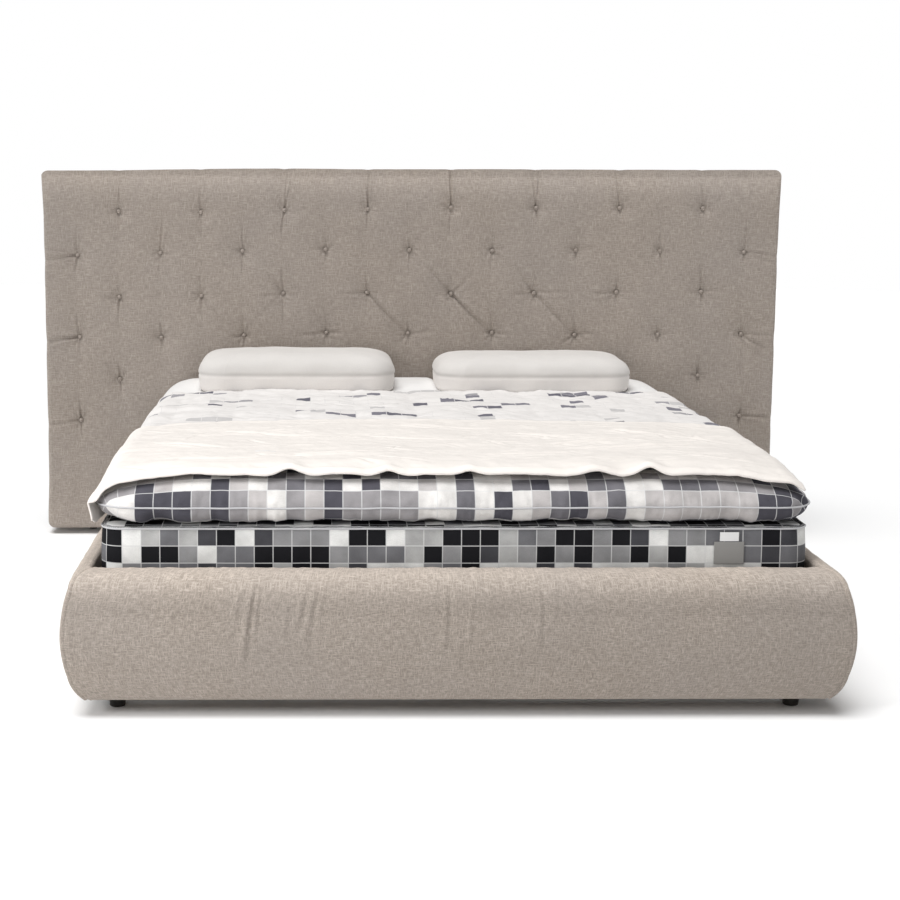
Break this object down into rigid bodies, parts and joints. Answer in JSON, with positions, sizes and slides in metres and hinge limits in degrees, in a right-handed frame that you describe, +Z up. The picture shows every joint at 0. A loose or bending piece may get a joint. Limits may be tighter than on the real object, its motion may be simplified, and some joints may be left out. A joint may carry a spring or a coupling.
{
  "type": "upholstered headboard bed",
  "caption": "Double bed with a wide button-tufted headboard, a low rounded padded frame on short feet, a sprung mattress, a topper, a duvet, a throw and pillows.",
  "frame": {"origin": "on the floor, under the centre of the bed's bounding box", "axes": "+X across the bed, to the right seen from the foot end; +Y from the foot end to the headboard; +Z up"},
  "size_m": [2.71, 2.295, 1.355],
  "materials": {
    "headboard_weave": "matte",
    "frame_weave": "matte",
    "foam": "matte",
    "back_cloth": "matte",
    "timber": "matte",
    "slat_wood": "satin",
    "plywood": "matte",
    "leg_wood": "satin",
    "glide_plastic": "matte",
    "bracket_steel": "satin",
    "bolt_steel": "satin",
    "ticking": "matte",
    "piping": "satin",
    "label": "matte",
    "duvet_cotton": "matte",
    "throw_cotton": "matte",
    "pillow_cotton": "matte"
  },
  "bodies": {
    "frame": {"headboard_stile_left": "timber", "headboard_stile_right": "timber", "headboard_top_rail": "timber", "headboard_mid_rail": "timber", "headboard_bottom_rail": "timber", "headboard_stud_left": "timber", "headboard_stud_right": "timber", "headboard_panel": "plywood", "headboard_padding": "foam", "headboard_cover": "headboard_weave", "headboard_buttons": "headboard_weave", "headboard_back_cloth": "back_cloth", "headboard_glides": "glide_plastic", "side_board_left": "timber", "side_board_right": "timber", "foot_board": "timber", "head_rail": "timber", "side_padding_left": "foam", "side_padding_right": "foam", "foot_padding": "foam", "side_cover_left": "frame_weave", "side_cover_right": "frame_weave", "foot_cover": "frame_weave", "slat_ledge_left": "timber", "slat_ledge_right": "timber", "slat_01": "slat_wood", "slat_02": "slat_wood", "slat_03": "slat_wood", "slat_04": "slat_wood", "slat_05": "slat_wood", "slat_06": "slat_wood", "slat_07": "slat_wood", "slat_08": "slat_wood", "slat_09": "slat_wood", "slat_10": "slat_wood", "slat_11": "slat_wood", "slat_12": "slat_wood", "centre_beam": "timber", "centre_legs": "bracket_steel", "corner_brackets": "bracket_steel", "head_brackets": "bracket_steel", "frame_bolts": "bolt_steel", "leg_front_left": "leg_wood", "leg_front_right": "leg_wood", "leg_rear_left": "leg_wood", "leg_rear_right": "leg_wood"},
    "mattress": {"mattress_core": "foam", "mattress_top_panel": "ticking", "mattress_bottom_panel": "ticking", "mattress_border": "ticking", "mattress_piping": "piping", "mattress_label": "label"},
    "topper": {"topper_core": "foam", "topper_cover_top": "ticking", "topper_cover_bottom": "ticking", "topper_piping": "piping"},
    "duvet": {"duvet": "duvet_cotton"},
    "throw": {"throw": "throw_cotton"},
    "pillow_left": {"pillow_left": "pillow_cotton"},
    "pillow_right": {"pillow_right": "pillow_cotton"}
  },
  "joints": [
    {"name": "mattress_lift", "type": "slide", "parent": "frame", "child": "mattress", "axis": [0, 0, 1], "range_m": [0, 0.45]},
    {"name": "topper_lift", "type": "slide", "parent": "mattress", "child": "topper", "axis": [0, 0, 1], "range_m": [0, 0.4]},
    {"name": "duvet_lift", "type": "slide", "parent": "topper", "child": "duvet", "axis": [0, 0, 1], "range_m": [0, 0.35]},
    {"name": "throw_lift", "type": "slide", "parent": "duvet", "child": "throw", "axis": [0, 0, 1], "range_m": [0, 0.35]},
    {"name": "pillow_left_lift", "type": "slide", "parent": "topper", "child": "pillow_left", "axis": [0, 0, 1], "range_m": [0, 0.35]},
    {"name": "pillow_right_lift", "type": "slide", "parent": "topper", "child": "pillow_right", "axis": [0, 0, 1], "range_m": [0, 0.35]}
  ]
}
